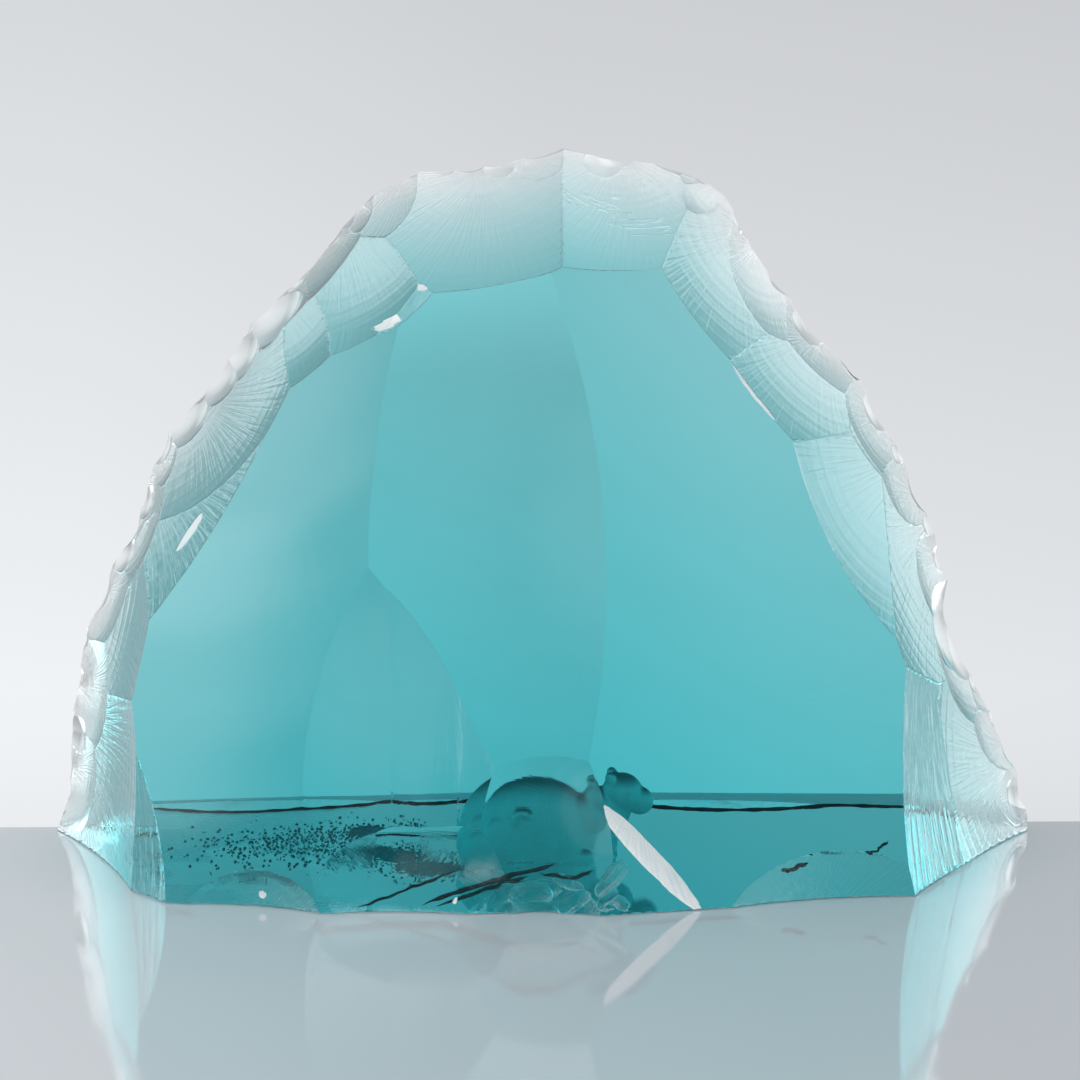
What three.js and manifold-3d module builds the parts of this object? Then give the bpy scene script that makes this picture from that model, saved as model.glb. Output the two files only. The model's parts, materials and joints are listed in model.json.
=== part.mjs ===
// A glass iceberg ornament: a chipped block of thick glass with a frosted polar bear set in from beneath.
// Millimetres, +Z up, +X to the right and +Y to the flat back. The block stands on z = 0.
import * as THREE from 'three';
import { mergeVertices } from 'three/addons/utils/BufferGeometryUtils.js';
import Module from 'manifold-3d';

// Overall size of the glass block
const BLOCK_WIDTH = 260;
const BLOCK_DEPTH = 104;
const BLOCK_HEIGHT = 183;

// Radius of the dish that each kind of scar leaves in the glass
const FACE_RADIUS = 800;
const MIDDLE_RADIUS = 360;
const SIDE_RADIUS = 290;
const EDGE_RADIUS = 145;
const TOE_RADIUS = 110;
const CHIP_RADIUS = 100;
const STRIP_RADIUS = 90;
const SHOULDER_RADIUS = 80;
const NOTCH_RADIUS = 62;
const FOOT_RADIUS = 40;

// Radius of the dish that a flake leaves in the rim of the back face
const RIM_RADIUS = 75;
const RIM_CHIP_RADIUS = 55;
const NICK_RADIUS = 30;

// Polar bear: overall size, place of its middle, and its fit in the pocket
const BEAR_LENGTH = 44;
const BEAR_WIDTH = 17;
const BEAR_HEIGHT = 24;
const BEAR_X = 2.9;
const BEAR_Y = 0;
const BEAR_CLEARANCE = 0.3;
const BEAR_RECESS = 0.5;

// Fineness of the curved surfaces
const DISH_RINGS = 6;
const DISH_SIDES = 24;
const BALL_SIDES = 12;
const BALL_RINGS = 8;

// Steepest part of a dish that is used, in degrees from its middle
const DISH_STEEPEST = 76;

// Points closer than this are one point
const MERGE_DISTANCE = 1e-4;

const wasm = await Module();
wasm.setup();

function radians(degrees) {
  return THREE.MathUtils.degToRad(degrees);
}

// Closed three.js geometry as a solid that can be joined and cut
function solid(geometry) {
  const bare = geometry.clone();
  bare.deleteAttribute('normal');
  bare.deleteAttribute('uv');
  const merged = mergeVertices(bare, MERGE_DISTANCE);
  const corners = merged.index.array;
  const kept = [];
  for (let i = 0; i < corners.length; i += 3) {
    const [a, b, c] = corners.slice(i, i + 3);
    if (a !== b && b !== c && c !== a) {
      kept.push(a, b, c);
    }
  }
  return new wasm.Manifold(new wasm.Mesh({
    numProp: 3,
    vertProperties: new Float32Array(merged.attributes.position.array),
    triVerts: new Uint32Array(kept),
  }));
}

function geometryOf(body) {
  const mesh = body.getMesh();
  const geometry = new THREE.BufferGeometry();
  geometry.setAttribute('position', new THREE.BufferAttribute(mesh.vertProperties, 3));
  geometry.setIndex(new THREE.BufferAttribute(mesh.triVerts, 1));
  geometry.computeVertexNormals();
  return geometry;
}

// Outline of the back face: share of the half width, then share of the height
const BACK_OUTLINE = [
  [-1, 0], [-0.975, 0.05], [-0.965, 0.18], [-0.935, 0.295], [-0.885, 0.39], [-0.83, 0.44], [-0.81, 0.52],
  [-0.775, 0.575], [-0.67, 0.66], [-0.595, 0.745], [-0.47, 0.825], [-0.4, 0.89], [-0.345, 0.93],
  [-0.21, 0.98], [-0.085, 0.98], [0.03, 1], [0.145, 0.983], [0.22, 0.98], [0.33, 0.95], [0.37, 0.94],
  [0.425, 0.855], [0.515, 0.775], [0.635, 0.67], [0.665, 0.655], [0.73, 0.555], [0.77, 0.525], [0.79, 0.46],
  [0.835, 0.38], [0.84, 0.29], [0.895, 0.245], [0.92, 0.21], [0.925, 0.16], [0.975, 0.09], [1, 0.02], [1, 0],
];

function blank() {
  const points = BACK_OUTLINE.map(([across, up]) => (
    new THREE.Vector2(across * BLOCK_WIDTH / 2, up * BLOCK_HEIGHT)
  ));
  const outline = new THREE.Shape(points);
  const prism = new THREE.ExtrudeGeometry(outline, { depth: BLOCK_DEPTH, bevelEnabled: false });
  prism.rotateX(radians(90));
  prism.translate(0, BLOCK_DEPTH / 2, 0);
  return solid(prism);
}

// Scars struck off the blank. The seat is a point on the scar: share of the half width, of the depth
// from front to back, and of the height. It faces the front, turned to the side and leaning back.
// A dish with a stretch is that much longer one way: upwards, rolled to the right by the roll.
const SCARS = [
  { name: 'left face', seat: [-0.595, 0.361, 0.332], turn: -15.6, lean: 21.4, radius: FACE_RADIUS },
  { name: 'middle face', seat: [-0.106, 0.404, 0.51], turn: 1.2, lean: 18.6, radius: MIDDLE_RADIUS },
  { name: 'right face', seat: [0.389, 0.415, 0.397], turn: 14.1, lean: 20.8, radius: FACE_RADIUS },
  {
    name: 'toe', seat: [-0.369, 0.279, 0.305],
    turn: -6.5, lean: 17, radius: TOE_RADIUS, stretch: 1.7, roll: -4,
  },
  { name: 'low toe', seat: [-0.211, 0.155, 0.164], turn: -4, lean: 20.5, radius: TOE_RADIUS, stretch: 1.5 },
  {
    name: 'mid foot', seat: [0.092, 0.049, 0.041],
    turn: -2, lean: 30, radius: STRIP_RADIUS, stretch: 1.2, roll: -40,
  },
  {
    name: 'low foot', seat: [-0.138, 0.05, 0.023],
    turn: -14, lean: 30, radius: FOOT_RADIUS, stretch: 1.6, roll: 90,
  },
  { name: 'top left', seat: [-0.105, 0.813, 0.9], turn: -15.6, lean: 58.5, radius: EDGE_RADIUS },
  { name: 'top right', seat: [0.165, 0.814, 0.907], turn: 13.2, lean: 58.3, radius: EDGE_RADIUS },
  { name: 'left shoulder', seat: [-0.307, 0.683, 0.828], turn: -47, lean: 40, radius: SHOULDER_RADIUS },
  { name: 'left shoulder foot', seat: [-0.303, 0.532, 0.776], turn: -36, lean: 46, radius: STRIP_RADIUS },
  { name: 'left upper edge', seat: [-0.455, 0.644, 0.736], turn: -57, lean: 41, radius: NOTCH_RADIUS },
  { name: 'left middle edge', seat: [-0.661, 0.828, 0.604], turn: -59.8, lean: 32.9, radius: EDGE_RADIUS },
  { name: 'left middle strip', seat: [-0.702, 0.61, 0.493], turn: -59.6, lean: 33, radius: SIDE_RADIUS },
  { name: 'left rim chip', seat: [-0.8, 0.952, 0.491], turn: -72.3, lean: 18.2, radius: CHIP_RADIUS },
  { name: 'left side', seat: [-0.875, 0.784, 0.303], turn: -70.9, lean: 16, radius: SIDE_RADIUS },
  { name: 'left foot', seat: [-0.882, 0.691, 0.167], turn: -70.4, lean: 1.2, radius: SIDE_RADIUS },
  { name: 'left corner', seat: [-0.774, 0.254, 0.061], turn: -54.3, lean: 8.8, radius: EDGE_RADIUS },
  { name: 'right shoulder', seat: [0.357, 0.867, 0.846], turn: 51.5, lean: 30.4, radius: EDGE_RADIUS },
  { name: 'right upper edge', seat: [0.503, 0.808, 0.695], turn: 51.2, lean: 34.3, radius: EDGE_RADIUS },
  { name: 'right rim chip', seat: [0.678, 0.925, 0.599], turn: 59, lean: 27.8, radius: CHIP_RADIUS },
  { name: 'right middle edge', seat: [0.624, 0.651, 0.49], turn: 51.5, lean: 28.3, radius: EDGE_RADIUS },
  { name: 'right side', seat: [0.768, 0.91, 0.439], turn: 65.7, lean: 18.9, radius: SIDE_RADIUS },
  { name: 'right corner', seat: [0.771, 0.496, 0.132], turn: 65.8, lean: 10.4, radius: SIDE_RADIUS },
  { name: 'right foot', seat: [0.902, 0.831, 0.092], turn: 64, lean: 11.6, radius: SIDE_RADIUS },
];

// Flakes struck off the rim of the back face: where each starts and ends along the rim, as shares of the half
// width and the height, and the point of the glass that it reaches in to, given as a seat is
const RIM_FLAKES = [
  { start: [-0.995, 0.03], end: [-0.975, 0.155], reach: [-0.905, 0.75, 0.115], radius: RIM_CHIP_RADIUS },
  { start: [-0.98, 0.15], end: [-0.95, 0.28], reach: [-0.875, 0.67, 0.24], radius: RIM_CHIP_RADIUS },
  { start: [-0.95, 0.285], end: [-0.875, 0.42], reach: [-0.85, 0.76, 0.35], radius: RIM_CHIP_RADIUS },
  { start: [-0.87, 0.415], end: [-0.82, 0.52], reach: [-0.79, 0.86, 0.47], radius: RIM_CHIP_RADIUS },
  { start: [-0.82, 0.515], end: [-0.765, 0.595], reach: [-0.74, 0.885, 0.565], radius: NICK_RADIUS },
  { start: [-0.775, 0.59], end: [-0.635, 0.705], reach: [-0.655, 0.89, 0.64], radius: RIM_RADIUS },
  { start: [-0.635, 0.7], end: [-0.595, 0.745], reach: [-0.585, 0.885, 0.725], radius: NICK_RADIUS },
  { start: [-0.6, 0.745], end: [-0.475, 0.835], reach: [-0.5, 0.775, 0.77], radius: RIM_RADIUS },
  { start: [-0.475, 0.83], end: [-0.38, 0.915], reach: [-0.38, 0.815, 0.865], radius: RIM_RADIUS },
  { start: [-0.39, 0.9], end: [-0.345, 0.935], reach: [-0.33, 0.875, 0.915], radius: NICK_RADIUS },
  { start: [-0.35, 0.935], end: [-0.21, 0.99], reach: [-0.27, 0.865, 0.91], radius: RIM_CHIP_RADIUS },
  { start: [-0.09, 0.98], end: [0.03, 1], reach: [-0.02, 0.95, 0.965], radius: RIM_CHIP_RADIUS },
  { start: [0.035, 1.005], end: [0.28, 0.975], reach: [0.15, 0.86, 0.925], radius: EDGE_RADIUS },
  { start: [0.27, 0.975], end: [0.34, 0.95], reach: [0.295, 0.93, 0.945], radius: NICK_RADIUS },
  { start: [0.335, 0.95], end: [0.39, 0.925], reach: [0.355, 0.97, 0.92], radius: NICK_RADIUS },
  { start: [0.375, 0.945], end: [0.51, 0.78], reach: [0.375, 0.9, 0.85], radius: RIM_RADIUS },
  { start: [0.5, 0.785], end: [0.65, 0.67], reach: [0.525, 0.86, 0.705], radius: RIM_RADIUS },
  { start: [0.645, 0.67], end: [0.75, 0.545], reach: [0.635, 0.83, 0.6], radius: RIM_RADIUS },
  { start: [0.735, 0.55], end: [0.81, 0.44], reach: [0.715, 0.83, 0.49], radius: RIM_RADIUS },
  { start: [0.8, 0.455], end: [0.85, 0.34], reach: [0.76, 0.815, 0.395], radius: RIM_CHIP_RADIUS },
  { start: [0.84, 0.36], end: [0.86, 0.27], reach: [0.79, 0.78, 0.325], radius: RIM_CHIP_RADIUS },
  { start: [0.86, 0.28], end: [0.935, 0.16], reach: [0.855, 0.795, 0.23], radius: RIM_CHIP_RADIUS },
  { start: [0.925, 0.165], end: [0.985, 0.08], reach: [0.91, 0.875, 0.12], radius: RIM_CHIP_RADIUS },
  { start: [0.975, 0.095], end: [1.005, 0.015], reach: [0.94, 0.895, 0.055], radius: RIM_CHIP_RADIUS },
];

// Point of the block from its shares of the half width, of the depth and of the height
function pointAt([across, back, up]) {
  return new THREE.Vector3(across * BLOCK_WIDTH / 2, (back - 0.5) * BLOCK_DEPTH, up * BLOCK_HEIGHT);
}

// Seat and facing of a scar, with the direction in which its dish is stretched
function scarPlace({ seat, turn, lean, roll = 0 }) {
  const facing = new THREE.Vector3(
    Math.sin(radians(turn)) * Math.cos(radians(lean)),
    -Math.cos(radians(turn)) * Math.cos(radians(lean)),
    Math.sin(radians(lean)),
  );
  const upward = new THREE.Vector3(0, 0, 1).projectOnPlane(facing).normalize();
  const longways = upward.applyAxisAngle(facing, radians(-roll));
  return { seat: pointAt(seat), facing, longways };
}

// Seat and facing of the dish of the given radius that passes through the three points of a rim flake
function flakePlace({ start, end, reach, radius }) {
  const from = pointAt([start[0], 1, start[1]]);
  const to = pointAt([end[0], 1, end[1]]);
  const inner = pointAt(reach);
  const along = to.clone().sub(from);
  const inward = inner.clone().sub(from);
  const across = along.clone().cross(inward);
  const toMiddle = across.clone().cross(along).multiplyScalar(inward.lengthSq())
    .add(inward.clone().cross(across).multiplyScalar(along.lengthSq()))
    .divideScalar(2 * across.lengthSq());
  const rise = Math.sqrt(radius ** 2 - toMiddle.lengthSq());
  across.normalize();
  const heart = new THREE.Vector3(0, 0, BLOCK_HEIGHT / 3);
  const middles = [-rise, rise].map((offset) => (
    from.clone().add(toMiddle).addScaledVector(across, offset)
  ));
  const middle = middles[0].distanceTo(heart) > middles[1].distanceTo(heart) ? middles[0] : middles[1];
  const centroid = from.clone().add(to).add(inner).divideScalar(3);
  const facing = middle.clone().sub(centroid).normalize();
  const longways = along.projectOnPlane(facing).normalize();
  return { seat: middle.addScaledVector(facing, -radius), facing, longways };
}

// Cutter for one scar: a dish at the foot of a round bar, standing on the seat along the scar's facing
function cutter({ seat, facing, longways }, radius, stretch = 1) {
  const reach = BLOCK_WIDTH;
  const steepest = Math.min(radians(DISH_STEEPEST), Math.asin(Math.min(1, reach / radius)));
  const profile = [];
  for (let i = 0; i <= DISH_RINGS; i += 1) {
    const angle = steepest * i / DISH_RINGS;
    profile.push(new THREE.Vector2(radius * Math.sin(angle), radius * (1 - Math.cos(angle))));
  }
  const rim = profile[DISH_RINGS];
  profile.push(new THREE.Vector2(rim.x, rim.y + reach));
  profile.push(new THREE.Vector2(0, rim.y + reach));
  const bar = new THREE.LatheGeometry(profile, DISH_SIDES);
  bar.scale(1, 1, stretch);
  const sideways = facing.clone().cross(longways);
  bar.applyMatrix4(new THREE.Matrix4().makeBasis(sideways, facing, longways).setPosition(seat));
  return solid(bar);
}

// Forms of the bear: middle and half size as shares of its length, width and height, then nose-up tilt.
// The length runs from the rump at 0 to the nose at 1.
const BEAR_FORMS = [
  { name: 'barrel', middle: [0.37, 0, 0.36], half: [0.36, 0.47, 0.6], tilt: 8 },
  { name: 'rump', middle: [0.2, 0, 0.25], half: [0.2, 0.45, 0.42], tilt: 0 },
  { name: 'shoulder', middle: [0.52, 0, 0.5], half: [0.18, 0.4, 0.46], tilt: 0 },
  { name: 'neck', middle: [0.68, 0, 0.62], half: [0.17, 0.27, 0.28], tilt: -8 },
  { name: 'head', middle: [0.81, 0, 0.7], half: [0.115, 0.24, 0.2], tilt: -12 },
  { name: 'muzzle', middle: [0.92, 0, 0.65], half: [0.08, 0.14, 0.12], tilt: -14 },
];
const BEAR_PAIRS = [
  { name: 'ear', middle: [0.745, 0.13, 0.9], half: [0.035, 0.06, 0.1], tilt: 20 },
  { name: 'fore leg', middle: [0.58, 0.26, 0.2], half: [0.1, 0.19, 0.38], tilt: 0 },
  { name: 'fore paw', middle: [0.65, 0.26, 0.04], half: [0.11, 0.18, 0.12], tilt: 0 },
  { name: 'thigh', middle: [0.2, 0.26, 0.2], half: [0.17, 0.21, 0.38], tilt: 0 },
  { name: 'hind paw', middle: [0.3, 0.26, 0.04], half: [0.12, 0.18, 0.12], tilt: 0 },
];

function bearForms() {
  const forms = [...BEAR_FORMS];
  for (const pair of BEAR_PAIRS) {
    const [along, side, up] = pair.middle;
    for (const hand of [-1, 1]) {
      forms.push({ ...pair, middle: [along, hand * side, up] });
    }
  }
  return forms;
}

// Whole bear, grown by the given amount all round, standing on the underside of the block
function bearBody(grown) {
  let body = null;
  for (const { middle, half, tilt } of bearForms()) {
    const ball = new THREE.SphereGeometry(1, BALL_SIDES, BALL_RINGS);
    ball.rotateX(radians(90));
    ball.scale(
      half[0] * BEAR_LENGTH + grown,
      half[1] * BEAR_WIDTH + grown,
      half[2] * BEAR_HEIGHT + grown,
    );
    ball.rotateY(radians(-tilt));
    ball.translate(
      BEAR_X + (middle[0] - 0.5) * BEAR_LENGTH,
      BEAR_Y + middle[1] * BEAR_WIDTH,
      middle[2] * BEAR_HEIGHT,
    );
    const form = solid(ball);
    body = body ? body.add(form) : form;
  }
  return body;
}

function icebergBlock() {
  let body = blank();
  for (const scar of SCARS) {
    body = body.subtract(cutter(scarPlace(scar), scar.radius, scar.stretch));
  }
  for (const flake of RIM_FLAKES) {
    body = body.subtract(cutter(flakePlace(flake), flake.radius));
  }
  return body.subtract(bearBody(BEAR_CLEARANCE));
}

function polarBear() {
  const above = new THREE.BoxGeometry(2 * BEAR_LENGTH, 2 * BEAR_WIDTH, 2 * BEAR_HEIGHT);
  above.translate(BEAR_X, BEAR_Y, BEAR_HEIGHT + BEAR_RECESS);
  return bearBody(0).intersect(solid(above));
}

function piece(name, body, colour, roughness) {
  const material = new THREE.MeshStandardMaterial({ color: colour, roughness, metalness: 0 });
  const mesh = new THREE.Mesh(geometryOf(body), material);
  mesh.name = name;
  return mesh;
}

const group = new THREE.Group();
group.add(piece('iceberg_block', icebergBlock(), 0x7cc6cd, 0.03));
group.add(piece('polar_bear', polarBear(), 0x5fb0b6, 0.6));

export default group;
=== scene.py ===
import json
import math
import random

import bpy
import numpy as np
from mathutils import Matrix, Vector

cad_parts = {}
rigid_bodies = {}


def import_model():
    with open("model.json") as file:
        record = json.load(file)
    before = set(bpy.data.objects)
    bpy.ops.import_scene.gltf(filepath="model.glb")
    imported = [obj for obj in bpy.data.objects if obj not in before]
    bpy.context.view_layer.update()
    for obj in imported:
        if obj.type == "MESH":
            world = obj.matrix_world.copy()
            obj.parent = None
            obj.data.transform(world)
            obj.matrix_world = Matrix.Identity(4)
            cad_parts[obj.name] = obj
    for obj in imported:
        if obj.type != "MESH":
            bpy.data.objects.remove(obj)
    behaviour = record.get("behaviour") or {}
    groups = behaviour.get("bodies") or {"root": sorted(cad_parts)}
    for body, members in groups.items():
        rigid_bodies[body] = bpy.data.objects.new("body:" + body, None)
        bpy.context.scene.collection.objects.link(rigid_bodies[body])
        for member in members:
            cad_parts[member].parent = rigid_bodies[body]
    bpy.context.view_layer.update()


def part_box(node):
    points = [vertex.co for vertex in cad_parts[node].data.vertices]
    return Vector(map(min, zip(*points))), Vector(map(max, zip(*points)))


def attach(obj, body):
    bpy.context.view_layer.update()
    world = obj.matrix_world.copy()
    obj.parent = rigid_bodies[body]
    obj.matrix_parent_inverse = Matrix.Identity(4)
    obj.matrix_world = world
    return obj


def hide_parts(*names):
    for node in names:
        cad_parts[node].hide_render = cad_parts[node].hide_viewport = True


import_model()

# Glass iceberg ornament: a chipped block of aqua glass with a frosted polar bear set in from beneath.
# Metres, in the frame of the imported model: +X to the right, +Y to the flat back, the block stands on z = 0.

MM = 0.001
bear_low, bear_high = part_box("polar_bear")
WIDTH = 260 * MM
DEPTH = 104 * MM
HEIGHT = 183 * MM
BACK = DEPTH / 2

# Viewpoint of the photograph
CAMERA_PITCH = 9.4
CAMERA_DISTANCE = 1.5
CAMERA_LENS = 194.2
CAMERA_AIM = Vector((-0.67 * MM, 2.0 * MM, 86.6 * MM))

# Radius of the dish that each kind of scar leaves in the glass
FACE_RADIUS = 800 * MM
MIDDLE_RADIUS = 360 * MM
SIDE_RADIUS = 290 * MM
EDGE_RADIUS = 145 * MM
CHIP_RADIUS = 100 * MM
TOE_RADIUS = 260 * MM
STRIP_RADIUS = 90 * MM
SHOULDER_RADIUS = 80 * MM
NOTCH_RADIUS = 62 * MM
FOOT_RADIUS = 40 * MM
RIM_RADIUS = 75 * MM
RIM_CHIP_RADIUS = 55 * MM
NICK_RADIUS = 30 * MM

# Numbers that the faces carry, by the blow that left them
FIRST_SCAR = 1
FIRST_RIM_FLAKE = 50
FIRST_FOOT_FLAKE = 80
FIRST_FRONT_FLAKE = 85
FIRST_HEEL_FLAKE = 90
POCKET = 99
FIRST_RIM_CHIP = 100
FIRST_FOOT_CHIP = 400
FIRST_CRUSHED = 900
FIRST_BLANK_FACE = 1000
FIRST_PAINTED_GLINT = 2000
FIRST_FISSURE = 2100
HEEL_SHADE_LINE = 2150
FIRST_HOLLOW = 2300
PITTED = 2310

# Outline of the back face: share of the half width, then share of the height
BACK_OUTLINE = [
    (-1, 0), (-0.975, 0.05), (-0.965, 0.18), (-0.935, 0.295), (-0.885, 0.39), (-0.83, 0.44), (-0.81, 0.52),
    (-0.775, 0.575), (-0.67, 0.66), (-0.595, 0.745), (-0.47, 0.825), (-0.4, 0.89), (-0.345, 0.93),
    (-0.21, 0.98), (-0.085, 0.98), (0.03, 1), (0.145, 0.983), (0.22, 0.98), (0.33, 0.95), (0.37, 0.94),
    (0.425, 0.855), (0.515, 0.775), (0.635, 0.67), (0.665, 0.655), (0.73, 0.555), (0.77, 0.525), (0.79, 0.46),
    (0.835, 0.38), (0.84, 0.29), (0.895, 0.245), (0.92, 0.21), (0.925, 0.16), (0.975, 0.09), (1, 0.02),
    (1, 0),
]

# Scars struck off the blank: seat as shares of the half width, depth and height, turn to the side and
# lean backwards in degrees, radius of the dish, then roll and stretch of a dish that is longer one way
SCARS = {
    "left_face": ((-0.595, 0.361, 0.332), -15.6, 21.4, FACE_RADIUS, 0, 1),
    "middle_face": ((-0.106, 0.404, 0.51), 1.2, 18.6, MIDDLE_RADIUS, 0, 1),
    "right_face": ((0.389, 0.415, 0.397), 14.1, 20.8, FACE_RADIUS, 0, 1),
    "toe": ((-0.373, 0.291, 0.325), -3, 17.5, TOE_RADIUS, 0, 1),
    "bottom_middle": ((0.062, 0.052, 0.041), -2, 30, STRIP_RADIUS, -40, 1.2),
    "bottom_left": ((-0.138, 0.05, 0.023), -14, 30, FOOT_RADIUS, 90, 1.6),
    "top_left": ((-0.105, 0.813, 0.9), -15.6, 58.5, EDGE_RADIUS, 0, 1),
    "top_right": ((0.165, 0.814, 0.907), 13.2, 58.3, EDGE_RADIUS, 0, 1),
    "left_shoulder": ((-0.307, 0.683, 0.828), -47, 40, SHOULDER_RADIUS, 0, 1),
    "left_shoulder_foot": ((-0.303, 0.532, 0.776), -36, 46, STRIP_RADIUS, 0, 1),
    "left_upper_edge": ((-0.455, 0.644, 0.736), -57, 41, NOTCH_RADIUS, 0, 1),
    "left_middle_edge": ((-0.661, 0.828, 0.604), -59.8, 32.9, EDGE_RADIUS, 0, 1),
    "left_middle_strip": ((-0.702, 0.61, 0.493), -59.6, 33, SIDE_RADIUS, 0, 1),
    "left_rim_chip": ((-0.8, 0.952, 0.491), -72.3, 18.2, CHIP_RADIUS, 0, 1),
    "left_side": ((-0.875, 0.784, 0.303), -70.9, 16, SIDE_RADIUS, 0, 1),
    "left_foot": ((-0.882, 0.691, 0.167), -70.4, 1.2, SIDE_RADIUS, 0, 1),
    "left_corner": ((-0.774, 0.254, 0.061), -54.3, 8.8, EDGE_RADIUS, 0, 1),
    "right_shoulder": ((0.357, 0.867, 0.846), 51.5, 30.4, EDGE_RADIUS, 0, 1),
    "right_upper_edge": ((0.503, 0.808, 0.695), 51.2, 34.3, EDGE_RADIUS, 0, 1),
    "right_rim_chip": ((0.678, 0.925, 0.599), 59, 27.8, CHIP_RADIUS, 0, 1),
    "right_middle_edge": ((0.624, 0.651, 0.49), 51.5, 28.3, EDGE_RADIUS, 0, 1),
    "right_side": ((0.768, 0.91, 0.439), 65.7, 18.9, SIDE_RADIUS, 0, 1),
    "right_corner": ((0.771, 0.496, 0.132), 65.8, 10.4, SIDE_RADIUS, 0, 1),
    "right_foot": ((0.902, 0.831, 0.092), 64, 11.6, SIDE_RADIUS, 0, 1),
}
BROAD_FACES = ("left_face", "middle_face", "right_face", "toe")
WAVY_FLAKES = ("bottom_left", "bottom_middle")
TORN_FLAKES = ("left_corner", "right_corner")

# Flakes struck off the rim of the back face: where each starts and ends along the rim, as shares of the half
# width and the height, how far it reaches in, as shares of the half width, depth and height, and its radius
RIM_FLAKES = [
    ((-0.995, 0.03), (-0.975, 0.155), (-0.905, 0.75, 0.115), RIM_CHIP_RADIUS),
    ((-0.98, 0.15), (-0.95, 0.28), (-0.875, 0.67, 0.24), RIM_CHIP_RADIUS),
    ((-0.95, 0.285), (-0.875, 0.42), (-0.85, 0.76, 0.35), RIM_CHIP_RADIUS),
    ((-0.87, 0.415), (-0.82, 0.52), (-0.79, 0.86, 0.47), RIM_CHIP_RADIUS),
    ((-0.82, 0.515), (-0.765, 0.595), (-0.74, 0.885, 0.565), NICK_RADIUS),
    ((-0.775, 0.59), (-0.635, 0.705), (-0.655, 0.89, 0.64), RIM_RADIUS),
    ((-0.635, 0.7), (-0.595, 0.745), (-0.585, 0.885, 0.725), NICK_RADIUS),
    ((-0.6, 0.745), (-0.475, 0.835), (-0.5, 0.775, 0.77), RIM_RADIUS),
    ((-0.475, 0.83), (-0.38, 0.915), (-0.38, 0.815, 0.865), RIM_RADIUS),
    ((-0.39, 0.9), (-0.345, 0.935), (-0.33, 0.875, 0.915), NICK_RADIUS),
    ((-0.35, 0.935), (-0.21, 0.99), (-0.27, 0.865, 0.91), RIM_CHIP_RADIUS),
    ((-0.09, 0.98), (0.03, 1), (-0.02, 0.95, 0.965), RIM_CHIP_RADIUS),
    ((0.035, 1.005), (0.28, 0.975), (0.15, 0.86, 0.925), EDGE_RADIUS),
    ((0.27, 0.975), (0.34, 0.95), (0.295, 0.93, 0.945), NICK_RADIUS),
    ((0.335, 0.95), (0.39, 0.925), (0.355, 0.97, 0.92), NICK_RADIUS),
    ((0.375, 0.945), (0.51, 0.78), (0.375, 0.9, 0.85), RIM_RADIUS),
    ((0.5, 0.785), (0.65, 0.67), (0.525, 0.86, 0.705), RIM_RADIUS),
    ((0.645, 0.67), (0.75, 0.545), (0.635, 0.83, 0.6), RIM_RADIUS),
    ((0.735, 0.55), (0.81, 0.44), (0.715, 0.83, 0.49), RIM_RADIUS),
    ((0.8, 0.455), (0.85, 0.34), (0.76, 0.815, 0.395), RIM_CHIP_RADIUS),
    ((0.84, 0.36), (0.86, 0.27), (0.79, 0.78, 0.325), RIM_CHIP_RADIUS),
    ((0.86, 0.28), (0.935, 0.16), (0.855, 0.795, 0.23), RIM_CHIP_RADIUS),
    ((0.925, 0.165), (0.985, 0.08), (0.91, 0.875, 0.12), RIM_CHIP_RADIUS),
    ((0.975, 0.095), (1.005, 0.015), (0.94, 0.895, 0.055), RIM_CHIP_RADIUS),
]

# Flakes off the front of the foot: seat, turn, lean and radius as for the scars
FOOT_FLAKES = [
    ((0.534, 0.197, 0.043), 16, 6, STRIP_RADIUS), ((-0.568, 0.126, 0.027), -14, 4, 45 * MM),
    ((-0.045, 0.038, 0.025), -2, 12, 16 * MM), ((0.041, 0.039, 0.023), 4, 14, 18 * MM),
]

# Shallow flakes within the front: across and up in millimetres, bite, radius and stretch
FRONT_FLAKES = [(-29, 33, 0.2, 110, 1.6), (-36, 14, 0.2, 40, 1)]

# Flakes off the bottom edge of the back: where each starts and ends across, and how far it runs in under
# the block, in millimetres
HEEL_FLAKES = [(-104, -38, 9), (-40, -10, 3), (6, 72, 7), (76, 108, 1)]
HEEL_RADIUS = 600 * MM
# Width of a dark tube along the bottom edge of the back, painted shade for the dark line where the glass
# meets the table
HEEL_SHADE_WIDTH = 1.3

# Blows that came from elsewhere than the rim, as shares of the half width, depth and height
BLOWS = {
    "right_corner": (0.7, 0.62, 0.45), "left_corner": (-0.83, 0.4, 0.4), "bottom_left": (-0.3, 0.12, 0.11),
    "bottom_middle": (0.12, 0.1, 0.14), "left_shoulder_foot": (-0.22, 0.62, 0.86),
}

# How strongly the rays of each blow show on its scar, 1 where nothing is said
HACKLE = {
    "left_face": 0.03, "middle_face": 0.03, "right_face": 0.03, "toe": 0.08, "bottom_left": 0.2,
    "bottom_middle": 0.12, "right_corner": 3, "left_corner": 2, "left_shoulder_foot": 2.5,
    "left_middle_strip": 1.6,
}

# Flakes in flat white, painted highlights for glints of light on small facets: place in millimetres, turn,
# lean, radius, bite, roll and stretch
PAINTED_GLINTS = [
    ((25.4, -41.2, 14), 17, 25, 6, 0.25, -38, 6), ((-31, 8, 151.7), -25, 50, 6, 0.25, 35, 2.2),
    ((-43, 7.4, 141.7), -45, 45, 8, 0, 75, 5), ((-92, 9.1, 87.5), -40, 30, 5, 0.1, 20, 3),
    ((57, 11, 121), 40, 30, 6, -0.03, -36, 7), ((-70.9, -40, 2.4), -16, 12, 3, 0.12, 0, 1),
    ((-22, -46.7, 2.9), -8, 30, 2, 0.06, 20, 2),
]
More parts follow.
